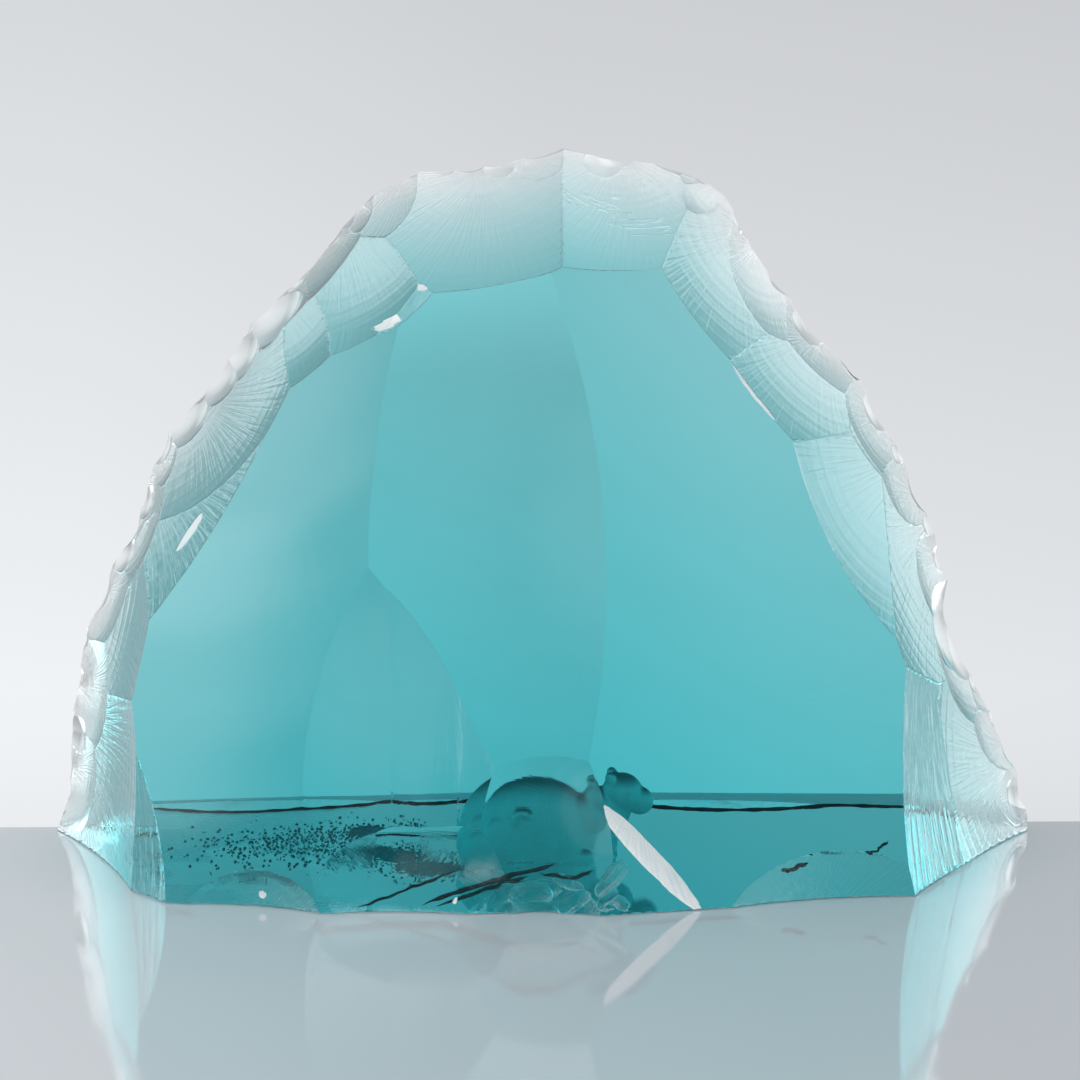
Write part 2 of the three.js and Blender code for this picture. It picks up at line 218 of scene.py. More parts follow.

# Fields of pits in the underside beside the bear, coloured in painted shade: middle and spread both ways, in
# millimetres, and how many are tried, after one first pit of the given place and radius
FIRST_PIT = (-60, 0, 0.5)
PIT_RADII = (0.2, 0.55)
PITS = [(-60, 9, 13, 9, 600), (-40, 16, 9, 8, 450), (-27, -4, 8, 8, 450)]

# Hollows ground out among them, in the same painted shade as the pits: place and half width in millimetres
HOLLOWS = [(-37, 13, 9), (-28, -4, 9), (-44, 22, 6)]
HOLLOW_DEPTH = 0.35 * MM

# Chips along the rim, small to large: range of radius and of bite in millimetres, and how often each comes
CHIP_SIZES = [((2, 5), (0.1, 0.25)), ((6, 14), (0.1, 0.35)), ((14, 26), (0.15, 0.5))]
CHIP_SHARES = (2, 4, 5)
CHIP_STEP = 8 * MM
FOOT_CHIP_STEP = 3.2 * MM
FOOT_CHIPS = 90

# Crushed glass at the front of the foot, below the bear: how many flakes, and where across and up
CRUSHED_COUNT = 14
CRUSHED_ACROSS = (-14, 22)
CRUSHED_UP = (1.5, 6.5)

# Fissures just behind the front of the foot, coloured in painted shade: their width, then five points across
# and up, in millimetres
FISSURES = [
    (0.9, [(-47, 1.4), (-40, 3), (-33, 5.6), (-26, 8.2), (-19.6, 11)]),
    (1.5, [(-31, 1.4), (-22, 5.2), (-12, 8), (-3, 10.4), (5.6, 12.4)]),
    (1.1, [(-27, 1.2), (-20, 3.8), (-13, 6.6), (-7, 8.2), (-2, 9.6)]),
    (1.1, [(-0.6, 9.7), (3.1, 9), (6.9, 8.7), (10.6, 9.2), (13.7, 10.6)]),
    (1.3, [(60.5, 7.4), (62.5, 7.5), (64.5, 8.1), (66.5, 8.7), (68.5, 9)]),
    (0.9, [(82, 11), (84, 11.3), (86, 12), (87.5, 13), (88.5, 14.2)]),
]
FISSURE_INSET = 1.3 * MM


def start_fresh():
    if bpy.context.mode != "OBJECT":
        bpy.ops.object.mode_set(mode="OBJECT")
    bpy.ops.object.select_all(action="DESELECT")


def make_active(piece):
    start_fresh()
    piece.select_set(True)
    bpy.context.view_layer.objects.active = piece


def apply_modifier(piece, kind, **settings):
    make_active(piece)
    modifier = piece.modifiers.new(kind.lower(), kind)
    for name, value in settings.items():
        setattr(modifier, name, value)
    bpy.ops.object.modifier_apply(modifier=modifier.name)


def facing_of(turn, lean):
    turn, lean = math.radians(turn), math.radians(lean)
    return Vector((math.sin(turn) * math.cos(lean), -math.cos(turn) * math.cos(lean), math.sin(lean)))


def seat_of(across, back, up):
    return Vector((across * WIDTH / 2, (back - 0.5) * DEPTH, up * HEIGHT))


def dish_through(start, end, reach, radius):
    """Seat and facing of the dish of this radius that passes through three points of the glass."""
    along, inward = end - start, reach - start
    across = along.cross(inward)
    to_middle = (across.cross(along) * inward.length_squared
                 + inward.cross(across) * along.length_squared) / (2 * across.length_squared)
    rise = math.sqrt(radius ** 2 - to_middle.length_squared)
    across.normalize()
    heart = Vector((0, 0, HEIGHT / 3))
    middles = [start + to_middle + across * side * rise for side in (-1, 1)]
    middle = max(middles, key=lambda point: (point - heart).length)
    facing = (middle - (start + end + reach) / 3).normalized()
    return middle - facing * radius, facing


def tag_faces(piece, first, each=False):
    """Number the faces by the scar that they belong to."""
    count = len(piece.data.polygons)
    numbers = np.full(count, first, np.int32)
    if each:
        numbers += np.arange(count, dtype=np.int32)
    piece.data.attributes.new("flake", "INT", "FACE").data.foreach_set("value", numbers)


# Rings that a blow sends through the glass, centred on an empty at the strike point, and slow swells
RING_WAVE = 0.314
rings = bpy.data.textures.new("struck_rings", "WOOD")
rings.wood_type = "RINGNOISE"
rings.noise_basis_2 = "SIN"
rings.turbulence = 2.5
rings.noise_scale = 1.2
swell = bpy.data.textures.new("glass_swell", "CLOUDS")
swell.noise_scale = 24 * MM
swell.noise_depth = 1
slow_swell = bpy.data.textures.new("slow_swell", "CLOUDS")
slow_swell.noise_scale = 42 * MM
slow_swell.noise_depth = 0
streak_noise = bpy.data.textures.new("torn_streaks", "CLOUDS")
streak_noise.noise_scale = 1
streak_noise.noise_depth = 2

tools = bpy.data.collections.new("flake_tools")
bpy.context.scene.collection.children.link(tools)


def keep_as_tool(tool):
    for home in tool.users_collection:
        home.objects.unlink(tool)
    tools.objects.link(tool)


def roughen(tool, strike, wave, ring_height, swell_height, swell_kind=swell):
    """Raise the struck rings and a slow swell on the tool, both as heights."""
    if ring_height:
        bpy.ops.object.empty_add(location=strike)
        point = bpy.context.object
        point.scale = (wave / RING_WAVE,) * 3
        bpy.context.view_layer.update()
        apply_modifier(tool, "DISPLACE", texture=rings, texture_coords="OBJECT",
                       texture_coords_object=point, strength=ring_height, mid_level=0.5)
        bpy.data.objects.remove(point)
    if swell_height:
        apply_modifier(tool, "DISPLACE", texture=swell_kind, texture_coords="GLOBAL", strength=swell_height,
                       mid_level=0.5)


def tear(tool, seat, turned, streak):
    """Raise torn streaks of the given width, length and height on the tool."""
    width, length, height = streak
    bpy.ops.object.empty_add(location=seat, rotation=turned)
    guide = bpy.context.object
    guide.scale = (width, length, width)
    bpy.context.view_layer.update()
    apply_modifier(tool, "DISPLACE", texture=streak_noise, texture_coords="OBJECT",
                   texture_coords_object=guide, strength=height, mid_level=0.5)
    bpy.data.objects.remove(guide)


def flake_tool(number, seat, facing, radius, reach, coarse, fine, cuts, strike, wave, ring_height,
               swell_height, swell_kind=swell, streak=None, roll=0, stretch=1):
    """Cutter with a dished foot of the given radius on the seat, standing up along the facing."""
    start_fresh()
    upward = (Vector((0, 0, 1)) - facing * facing.z).normalized()
    leftward = facing.cross(upward)
    roll = math.radians(roll)
    longways = upward * math.cos(roll) - leftward * math.sin(roll)
    turned = Matrix((longways.cross(-facing), longways, -facing)).transposed().to_euler()
    count = round(2 * reach / coarse)
    bpy.ops.mesh.primitive_grid_add(x_subdivisions=count, y_subdivisions=count, size=2 * reach,
                                    location=seat + facing * radius, rotation=turned)
    tool = bpy.context.object
    struck = [face.center.xy.length < fine for face in tool.data.polygons]
    tool.data.polygons.foreach_set("select", struck)
    bpy.ops.object.mode_set(mode="EDIT")
    bpy.ops.mesh.select_mode(type="FACE")
    bpy.ops.mesh.subdivide(number_cuts=cuts)
    bpy.ops.mesh.select_all(action="SELECT")
    bpy.ops.transform.translate(value=-facing * radius)
    bpy.ops.object.mode_set(mode="OBJECT")
    apply_modifier(tool, "CAST", cast_type="SPHERE", factor=1, use_radius_as_size=False, size=radius)
    tool.scale.y = stretch
    bpy.ops.object.transform_apply(location=True, rotation=True, scale=True)
    roughen(tool, strike, wave, ring_height, swell_height, swell_kind)
    if streak:
        tear(tool, seat, turned, streak)
    make_active(tool)
    bpy.ops.object.mode_set(mode="EDIT")
    bpy.ops.mesh.select_mode(type="EDGE")
    bpy.ops.mesh.select_all(action="DESELECT")
    bpy.ops.mesh.select_non_manifold()
    bpy.ops.mesh.extrude_edges_move(TRANSFORM_OT_translate={"value": facing * 4 * WIDTH})
    bpy.ops.mesh.merge(type="CENTER")
    bpy.ops.object.mode_set(mode="OBJECT")
    tag_faces(tool, number)
    return tool


def cut_away(piece, tool):
    apply_modifier(piece, "BOOLEAN", operation="DIFFERENCE", object=tool, solver="MANIFOLD")
    bpy.data.objects.remove(tool)


def glass_blank():
    start_fresh()
    bpy.ops.mesh.primitive_circle_add(vertices=len(BACK_OUTLINE), fill_type="NGON")
    piece = bpy.context.object
    for vertex, (across, up) in zip(piece.data.vertices, BACK_OUTLINE):
        vertex.co = (across * WIDTH / 2, BACK, up * HEIGHT)
    bpy.ops.object.mode_set(mode="EDIT")
    bpy.ops.mesh.select_all(action="SELECT")
    bpy.ops.mesh.extrude_region_move(TRANSFORM_OT_translate={"value": (0, -DEPTH, 0)})
    bpy.ops.mesh.select_all(action="SELECT")
    bpy.ops.mesh.normals_make_consistent(inside=False)
    bpy.ops.object.mode_set(mode="OBJECT")
    tag_faces(piece, FIRST_BLANK_FACE, each=True)
    return piece


block = glass_blank()
block.name = "glass_iceberg"

# Finishes of the scars: reach of the tool, its coarse grid, how far the fine one goes and how fine it is,
# length and height of the struck rings, height of the swell, then width, length and height of torn streaks
BROAD = dict(reach=160 * MM, coarse=5 * MM, fine=105 * MM, cuts=2, wave=26 * MM, ring_height=0.05 * MM,
             swell_height=0.25 * MM, swell_kind=slow_swell)
SMALL = dict(reach=96 * MM, coarse=6 * MM, fine=46 * MM, cuts=5, wave=4.5 * MM, ring_height=0.05 * MM,
             swell_height=0.25 * MM)
RIM = dict(reach=36 * MM, coarse=4 * MM, fine=26 * MM, cuts=3, wave=3.4 * MM, ring_height=0.05 * MM,
           swell_height=0.08 * MM)
WAVY = dict(SMALL, wave=5.5 * MM, ring_height=0.03 * MM, swell_height=0.08 * MM)
TORN = dict(SMALL, ring_height=0)
FOOT = dict(reach=40 * MM, coarse=4 * MM, fine=26 * MM, cuts=3, wave=3 * MM, ring_height=0.1 * MM,
            swell_height=0.2 * MM)
FRONT = dict(FOOT, ring_height=0.02 * MM, swell_height=0)
STREAKED_FLAKE = dict(reach=15 * MM, coarse=1.5 * MM, fine=9 * MM, cuts=3, wave=1.6 * MM, ring_height=0.03 * MM,
              swell_height=0, streak=(0.7 * MM, 6 * MM, 0.3 * MM))
CRUSHED = dict(STREAKED_FLAKE, cuts=2, streak=(1.1 * MM, 4 * MM, 0.45 * MM))
HOLLOW = dict(reach=40 * MM, coarse=2.4 * MM, fine=20 * MM, cuts=3, wave=6 * MM, ring_height=0,
              swell_height=0.3 * MM, streak=(1 * MM, 1.6 * MM, 0.9 * MM))
finish_of_scar = {name: SMALL for name in SCARS}
finish_of_scar.update(dict.fromkeys(BROAD_FACES, BROAD))
finish_of_scar.update(dict.fromkeys(WAVY_FLAKES, WAVY))
finish_of_scar.update(dict.fromkeys(TORN_FLAKES, TORN))
blows = {}


def strike_flake(number, seat, facing, radius, strike, hackle, finish, roll=0, stretch=1):
    """Take one flake off the block and remember its blow."""
    blows[number] = (strike, facing, (seat - strike).normalized(), hackle)
    tool = flake_tool(number, seat, facing, radius, strike=strike, roll=roll, stretch=stretch, **finish)
    cut_away(block, tool)


for number, (name, (seat, turn, lean, radius, roll, stretch)) in enumerate(SCARS.items(), FIRST_SCAR):
    seat, facing = seat_of(*seat), facing_of(turn, lean)
    outward = Vector((facing.x, 0, facing.z)).normalized()
    if name in BROAD_FACES:
        strike = Vector((seat.x, BACK, HEIGHT))
    elif name in BLOWS:
        strike = seat_of(*BLOWS[name])
    else:
        strike = Vector((seat.x, BACK, seat.z)) + outward * 12 * MM
    hackle = HACKLE.get(name, 1)
    strike_flake(number, seat, facing, radius, strike, hackle, finish_of_scar[name], roll, stretch)
for number, (start, end, reach, radius) in enumerate(RIM_FLAKES, FIRST_RIM_FLAKE):
    start = seat_of(start[0], 1, start[1])
    end = seat_of(end[0], 1, end[1])
    seat, facing = dish_through(start, end, seat_of(*reach), radius)
    strike_flake(number, seat, facing, radius, (start + end) / 2 + facing * 2 * MM, 1, RIM)
for number, (seat, turn, lean, radius) in enumerate(FOOT_FLAKES, FIRST_FOOT_FLAKE):
    seat, facing = seat_of(*seat), facing_of(turn, lean)
    strike_flake(number, seat, facing, radius, Vector((seat.x, seat.y - 4 * MM, -6 * MM)), 0.6, FOOT)
for number, (first, last, inward) in enumerate(HEEL_FLAKES, FIRST_HEEL_FLAKE):
    start = Vector((first * MM, BACK, 0))
    end = Vector((last * MM, BACK, 0))
    reach = Vector(((first + last) / 2 * MM, BACK - inward * MM, 0))
    seat, facing = dish_through(start, end, reach, HEEL_RADIUS)
    strike_flake(number, seat, facing, HEEL_RADIUS, (start + end) / 2, 0.3, FOOT)


def rim_walk(step):
    """Points along the rim of the back face with the direction that leads out of the glass there."""
    corners = [Vector((across * WIDTH / 2, BACK, up * HEIGHT)) for across, up in BACK_OUTLINE]
    left_over = 0
    for start, end in zip(corners, corners[1:]):
        along = (end - start).normalized()
        outward = Vector((-along.z, 0, along.x))
        place = left_over
        while place < (end - start).length:
            yield start + along * place, outward
            place += step * dice.uniform(0.3, 1.9)
        left_over = place - (end - start).length


def chip_tool(number, seat, facing, radius, ring_height, fineness):
    start_fresh()
    middle = seat + facing * radius
    bpy.ops.mesh.primitive_ico_sphere_add(subdivisions=fineness, radius=radius, location=middle)
    tool = bpy.context.object
    roughen(tool, seat + facing * 3 * MM, dice.uniform(2, 3) * MM, ring_height, 0)
    tag_faces(tool, number)
    keep_as_tool(tool)


def strike_chips(piece):
    """Take all the waiting chip tools out of the piece in one go."""
    apply_modifier(piece, "BOOLEAN", operation="DIFFERENCE", operand_type="COLLECTION", collection=tools,
                   solver="MANIFOLD")
    for tool in list(tools.objects):
        bpy.data.objects.remove(tool)


TOWARDS_FRONT = Vector((0, -1, 0))
dice = random.Random(7)


def chip_the_rim(piece, number):
    """Chips of all sizes along the real rim, found by looking for it from outside."""
    for place, outward in rim_walk(CHIP_STEP):
        start = place + outward * 20 * MM - Vector((0, 0.4 * MM, 0))
        hit, point, normal, face = piece.ray_cast(start, -outward)
        if not hit or point.z < 1 * MM:
            continue
        radii, bites = dice.choices(CHIP_SIZES, CHIP_SHARES)[0]
        lean = math.radians(dice.uniform(10, 50))
        facing = (outward * math.cos(lean) + TOWARDS_FRONT * math.sin(lean)).normalized()
        seat = Vector((point.x, BACK, point.z)) - facing * dice.uniform(*bites) * MM
        radius = dice.uniform(*radii)
        chip_tool(number, seat, facing, radius * MM, 0.04 * MM, 4 if radius > 9 else 3)
        number += 1


def foot_edges(mesh):
    """Edges of the underside, longest first, in an order that doesn't hang on how the mesh is stored."""
    edges = []
    for edge in mesh.edges:
        ends = sorted((mesh.vertices[corner].co for corner in edge.vertices), key=Vector.to_tuple)
        if max(ends[0].z, ends[1].z) <= 0.01 * MM:
            edges.append(((ends[1] - ends[0]).length, ends[0].to_tuple(), ends[1].to_tuple()))
    return sorted(edges, reverse=True)


def chip_the_foot(piece, number):
    """Small chips round the edge of the underside, all but along the back."""
    placed = []
    for length, *ends in foot_edges(piece.data):
        ends = [Vector(end) for end in ends]
        for share in np.arange(0.5, max(1, length / MM)) * MM / max(length, MM):
            point = ends[0].lerp(ends[1], float(min(share, 1)))
            behind = point.y > BACK - 12 * MM and abs(point.x) < 118 * MM
            if behind or any((point - other).length < FOOT_CHIP_STEP for other in placed):
                continue
            if len(placed) == FOOT_CHIPS:
                return
            hit, near, normal, face = piece.closest_point_on_mesh(point + Vector((0, 0, 1.5 * MM)))
            outward = Vector((normal.x, normal.y, 0))
            if not hit or outward.length < 0.3:
                continue
            outward.normalize()
            placed.append(point)
            facing = (outward + Vector((0, 0, -dice.uniform(0.5, 1.3)))).normalized()
            seat = point - facing * dice.uniform(0.15, 0.4) * MM
            chip_tool(number, seat, facing, dice.uniform(2, 5) * MM, 0, 3)
            number += 1


def front_of(piece, across, up):
    """Point of the front of the glass, given in millimetres, and its facing."""
    hit, point, normal, face = piece.ray_cast(Vector((across * MM, -0.1, up * MM)), -TOWARDS_FRONT)
    return point, normal


for number, (across, up, bite, radius, stretch) in enumerate(FRONT_FLAKES, FIRST_FRONT_FLAKE):
    point, facing = front_of(block, across, up)
    seat = point - facing * bite * MM
    strike = point + Vector((0, -6 * MM, 30 * MM))
    strike_flake(number, seat, facing, radius * MM, strike, 0.15, FRONT, 0, stretch)
chip_the_rim(block, FIRST_RIM_CHIP)
chip_the_foot(block, FIRST_FOOT_CHIP)
strike_chips(block)

crushed = [front_of(block, dice.uniform(*CRUSHED_ACROSS), dice.uniform(*CRUSHED_UP))
           for turn in range(CRUSHED_COUNT)]
for number, (point, facing) in enumerate(crushed, FIRST_CRUSHED):
    facing = (facing + Vector((dice.uniform(-0.3, 0.3), 0, dice.uniform(-0.2, 0.3)))).normalized()
    seat = point - facing * dice.uniform(0.1, 0.4) * MM
    strike_flake(number, seat, facing, dice.uniform(3, 7) * MM, seat + Vector((0, 0, 9 * MM)), 0.8, CRUSHED,
                 dice.uniform(30, 120), dice.uniform(1.5, 3))
for number, (place, turn, lean, radius, bite, roll, stretch) in enumerate(PAINTED_GLINTS, FIRST_PAINTED_GLINT):
    facing = facing_of(turn, lean)
    seat = Vector(place) * MM - facing * bite * MM
    strike_flake(number, seat, facing, radius * MM, seat + Vector((0, 0, 14 * MM)), 1, STREAKED_FLAKE, roll, stretch)
underneath = facing_of(0, -89.5)
for number, (across, back, half) in enumerate(HOLLOWS, FIRST_HOLLOW):
    seat = Vector((across * MM, back * MM, HOLLOW_DEPTH))
    radius = (half * MM) ** 2 / (2 * HOLLOW_DEPTH)
    strike_flake(number, seat, underneath, radius, seat + Vector((30 * MM, 0, 0)), 0, HOLLOW)


def pit_tool(number):
    """Small balls that stand clear of each other, close in the middle of each field and scattered outside."""
    start_fresh()
    x, y, radius = FIRST_PIT
    bpy.ops.mesh.primitive_ico_sphere_add(subdivisions=1, radius=radius * MM, location=(x * MM, y * MM, 0))
    tool = bpy.context.object
    bpy.ops.object.transform_apply(location=True, rotation=True, scale=True)
    bpy.ops.object.mode_set(mode="EDIT")
    placed = [FIRST_PIT]
    for across, back, wide, deep, count in PITS:
        for turn in range(count):
            x, y, radius = dice.gauss(across, wide), dice.gauss(back, deep), dice.uniform(*PIT_RADII)
            if all(math.hypot(x - other[0], y - other[1]) > radius + other[2] for other in placed):
                placed.append((x, y, radius))
                bpy.ops.mesh.primitive_ico_sphere_add(subdivisions=1, radius=radius * MM,
                                                      location=(x * MM, y * MM, 0))
    bpy.ops.object.mode_set(mode="OBJECT")
    tag_faces(tool, number)
    return tool


cut_away(block, pit_tool(PITTED))


def fissure_tool(number, wide, places):
    """Thin wandering tube through the places, of uneven width."""
    start_fresh()
    bpy.ops.curve.primitive_nurbs_path_add()
    tool = bpy.context.object
    tool.data.bevel_depth = wide * MM / 2
    tool.data.bevel_resolution = 1
    tool.data.resolution_u = 4
    tool.data.use_fill_caps = True
    bpy.ops.object.mode_set(mode="EDIT")
    bpy.ops.curve.subdivide(number_cuts=len(places) // 4)
    bpy.ops.object.mode_set(mode="OBJECT")
    knots = tool.data.splines[0].points
    for turn, knot in enumerate(knots):
        share = turn / (len(knots) - 1)
        knot.co = (*places[round(share * (len(places) - 1))], 1)
        knot.radius = dice.uniform(0.5, 1.2) * (1 - abs(2 * share - 1) ** 6)
    bpy.ops.object.convert(target="MESH")
    bpy.ops.object.mode_set(mode="EDIT")
    bpy.ops.mesh.select_all(action="SELECT")
    bpy.ops.mesh.remove_doubles(threshold=0.001 * MM)
    bpy.ops.mesh.normals_make_consistent(inside=False)
    bpy.ops.object.mode_set(mode="OBJECT")
    tag_faces(bpy.context.object, number)
    return bpy.context.object


def fissure_places(points):
    """Places along the given points, a little way into the glass and shaken off the straight line."""
    places = []
    for (x, z), (next_x, next_z) in zip(points, points[1:]):
        for share in (0, 0.25, 0.5, 0.75):
            across = x + share * (next_x - x) + dice.uniform(-0.3, 0.3)
            up = max(0.8, z + share * (next_z - z) + dice.uniform(-0.4, 0.4))
            point, facing = front_of(block, across, up)
            places.append(point - facing * FISSURE_INSET)
    return places


def heel_places():
    """Places along the bottom edge of the back."""
    places = []
    for across in range(-120, 121, 2):
        start = Vector((across * MM, 0.2, 0.05 * MM))
        hit, point, normal, face = block.ray_cast(start, TOWARDS_FRONT)
        places.append(Vector((point.x, point.y, 0)))
    return places


for number, (wide, points) in enumerate(FISSURES, FIRST_FISSURE):
    cut_away(block, fissure_tool(number, wide, fissure_places(points)))
# Dark tube along the bottom edge of the back, painted shade for the dark line where the glass meets the table
cut_away(block, fissure_tool(HEEL_SHADE_LINE, HEEL_SHADE_WIDTH, heel_places()))

# Polar bear: places and half sizes of its forms as shares of its length, width and height, then nose-up tilt
BEAR_LENGTH = 44 * MM
BEAR_WIDTH = 17 * MM
BEAR_HEIGHT = 24 * MM
BEAR_X = 2.9 * MM
BEAR_CLEARANCE = 0.3 * MM
BEAR_VOXEL = 0.5 * MM
BEAR_FORMS = [
    ((0.39, 0, 0.3), (0.39, 0.47, 0.68), 4), ((0.2, 0, 0.24), (0.19, 0.45, 0.4), 0),
    ((0.56, 0, 0.36), (0.18, 0.42, 0.44), 0), ((0.69, 0, 0.52), (0.17, 0.3, 0.27), 14),
    ((0.82, 0, 0.74), (0.12, 0.27, 0.21), -14), ((0.92, 0, 0.65), (0.08, 0.18, 0.15), -18),
    ((0.25, -0.42, 0.5), (0.02, 0.06, 0.05), 0), ((0.255, -0.43, 0.56), (0.02, 0.06, 0.05), 0),
    ((0.275, -0.44, 0.61), (0.02, 0.06, 0.04), 0), ((0.31, -0.45, 0.62), (0.02, 0.06, 0.04), 0),
    ((0.34, -0.45, 0.59), (0.02, 0.06, 0.04), 0),
]
BEAR_PAIRS = [
    ((0.755, 0.15, 0.93), (0.03, 0.05, 0.06), 20), ((0.58, 0.26, 0.2), (0.1, 0.19, 0.38), 0),
    ((0.65, 0.26, 0.04), (0.11, 0.18, 0.12), 0), ((0.2, 0.26, 0.2), (0.17, 0.21, 0.38), 0),
    ((0.3, 0.26, 0.04), (0.12, 0.18, 0.12), 0),
]


def carve_bear():
    """Rounded forms grown together into one bear."""
    forms = list(BEAR_FORMS)
    for (along, side, up), half, tilt in BEAR_PAIRS:
        forms += [((along, hand * side, up), half, tilt) for hand in (-1, 1)]
    balls = []
    for (along, side, up), half, tilt in forms:
        start_fresh()
        bpy.ops.mesh.primitive_ico_sphere_add(
            subdivisions=4, radius=1, rotation=(0, -math.radians(tilt), 0),
            location=(BEAR_X + (along - 0.5) * BEAR_LENGTH, side * BEAR_WIDTH, up * BEAR_HEIGHT),
            scale=(half[0] * BEAR_LENGTH, half[1] * BEAR_WIDTH, half[2] * BEAR_HEIGHT))
        balls.append(bpy.context.object)
    start_fresh()
    for ball in balls:
        ball.select_set(True)
    bpy.context.view_layer.objects.active = balls[0]
    bpy.ops.object.join()
    bpy.ops.object.transform_apply(location=True, rotation=True, scale=True)
    bear = bpy.context.object
    apply_modifier(bear, "REMESH", mode="VOXEL", voxel_size=BEAR_VOXEL)
    apply_modifier(bear, "SMOOTH", factor=0.5, iterations=8)
    return bear


bear = carve_bear()
bear.name = "frosted_bear"
pocket = bear.copy()
pocket.data = bear.data.copy()
bpy.context.scene.collection.objects.link(pocket)
apply_modifier(pocket, "DISPLACE", strength=BEAR_CLEARANCE, mid_level=0)
tag_faces(pocket, POCKET)
cut_away(block, pocket)
make_active(bear)
bpy.ops.object.mode_set(mode="EDIT")
bpy.ops.mesh.select_all(action="SELECT")
bpy.ops.mesh.bisect(plane_co=(0, 0, bear_low.z), plane_no=(0, 0, 1), clear_inner=True, use_fill=True)
bpy.ops.object.mode_set(mode="OBJECT")
bpy.ops.object.shade_smooth_by_angle(angle=math.radians(40))


def sharpen_flakes(piece):
    """Smooth within each scar, sharp where two scars meet."""
    mesh = piece.data
    flakes = np.empty(len(mesh.polygons), np.int32)
    mesh.attributes["flake"].data.foreach_get("value", flakes)
    corners = np.empty(len(mesh.polygons), np.int32)
    mesh.polygons.foreach_get("loop_total", corners)
    edges = np.empty(len(mesh.loops), np.int32)
    mesh.loops.foreach_get("edge_index", edges)
    flakes = np.repeat(flakes, corners)
    lowest = np.full(len(mesh.edges), 10 ** 6, np.int32)
    highest = np.full(len(mesh.edges), -1, np.int32)
    np.minimum.at(lowest, edges, flakes)
    np.maximum.at(highest, edges, flakes)
    mesh.polygons.foreach_set("use_smooth", np.ones(len(mesh.polygons), bool))
    meeting = lowest != highest
    mesh.edges.foreach_set("use_edge_sharp", meeting)
    ends = np.empty(len(mesh.edges) * 2, np.int32)
    mesh.edges.foreach_get("vertices", ends)
    ridge = np.zeros(len(mesh.vertices), np.float32)
    ridge[ends.reshape(-1, 2)[meeting].ravel()] = 1
    mesh.attributes.new("ridge", "FLOAT", "POINT").data.foreach_set("value", ridge)
    mesh.update()


sharpen_flakes(block)
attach(block, "root")
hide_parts("iceberg_block")

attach(bear, "root")
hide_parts("polar_bear")


def mark_blows(piece):
    """Store how far each corner lies from its scar's blow, round it and how strongly the rays show."""
    mesh = piece.data
    places = np.empty(len(mesh.vertices) * 3)
    mesh.vertices.foreach_get("co", places)
    corners = np.empty(len(mesh.loops), np.int32)
    mesh.loops.foreach_get("vertex_index", corners)
    places = places.reshape(-1, 3)[corners]
    flakes = np.empty(len(mesh.polygons), np.int32)
    mesh.attributes["flake"].data.foreach_get("value", flakes)
    counts = np.empty(len(mesh.polygons), np.int32)
    mesh.polygons.foreach_get("loop_total", counts)
    flake_of_corner = np.repeat(flakes, counts)
    ring = np.zeros(len(corners), np.float32)
    ray = np.zeros(len(corners), np.float32)
    hackle = np.zeros(len(corners), np.float32)
    for number, (strike, facing, inward, strength) in blows.items():
        mine = flake_of_corner == number
        apart = places[mine] - np.array(strike)
        ring[mine] = np.linalg.norm(apart, axis=1)
        ray[mine] = np.arctan2(apart @ np.array(facing.cross(inward)), apart @ np.array(inward))
        hackle[mine] = strength
    for name, values in (("ring", ring), ("ray", ray), ("hackle", hackle)):
        mesh.attributes.new(name, "FLOAT", "CORNER").data.foreach_set("value", values)
    return flakes


flakes = mark_blows(block)
# Finishes by face: the pocket frost with painted shade, the white painted highlights, and the fissures, heel
# line, pits and hollows in painted shade
kinds = [flakes == POCKET, flakes >= FIRST_HOLLOW, flakes >= FIRST_FISSURE, flakes >= FIRST_PAINTED_GLINT]
finishes = np.select(kinds, [1, 4, 3, 2], 0)
# Painted shade: how far each point of the glass faces down, used to darken the top of the bear's pocket
painted_top_shade = np.array([-vertex.normal.z for vertex in block.data.vertices], np.float32)
block.data.attributes.new("painted_top_shade", "FLOAT", "POINT").data.foreach_set("value", painted_top_shade)


def node(tree, kind, links=(), **settings):
    """Add a node, set its properties, and give its sockets plain values or feed them from other nodes."""
    made = tree.nodes.new("ShaderNode" + kind)
    for name, value in settings.items():
        setattr(made, name, value)
    for socket, source in links:
        if isinstance(source, bpy.types.NodeSocket):
            tree.links.new(source, made.inputs[socket])
        else:
            made.inputs[socket].default_value = source
    return made


def stored(tree, name):
    return node(tree, "Attribute", attribute_name=name).outputs["Fac"]


def object_place(tree):
    return node(tree, "TexCoord").outputs["Object"]


def math_of(tree, operation, first, second=0.0):
    return node(tree, "Math", [(0, first), (1, second)], operation=operation).outputs["Value"]


def product(tree, first, second):
    return math_of(tree, "MULTIPLY", first, second)


def noise_of(tree, place, scale, detail):
    return node(tree, "TexNoise", [("Vector", place), ("Scale", scale), ("Detail", detail)]).outputs["Fac"]


def spread(tree, value, low, high, new_low=0.0, new_high=1.0, **settings):
    """Spread the values between low and high over a new range."""
    links = [("Value", value), ("From Min", low), ("From Max", high)]
    links += [("To Min", new_low), ("To Max", new_high)]
    return node(tree, "MapRange", links, **settings).outputs["Result"]


def colour_of(tree, share, first, second, **settings):
    links = [(0, share), (6, first), (7, second)]
    return node(tree, "Mix", links, data_type="RGBA", **settings).outputs[2]


def feed(tree, body, **sources):
    """Link sources to the sockets of the body that they are named for."""
    for name, source in sources.items():
        tree.links.new(source, body.inputs[name.replace("_", " ")])


def bump_of(tree, height, distance):
    links = [("Height", height), ("Distance", distance), ("Strength", 1.0)]
    return node(tree, "Bump", links).outputs["Normal"]


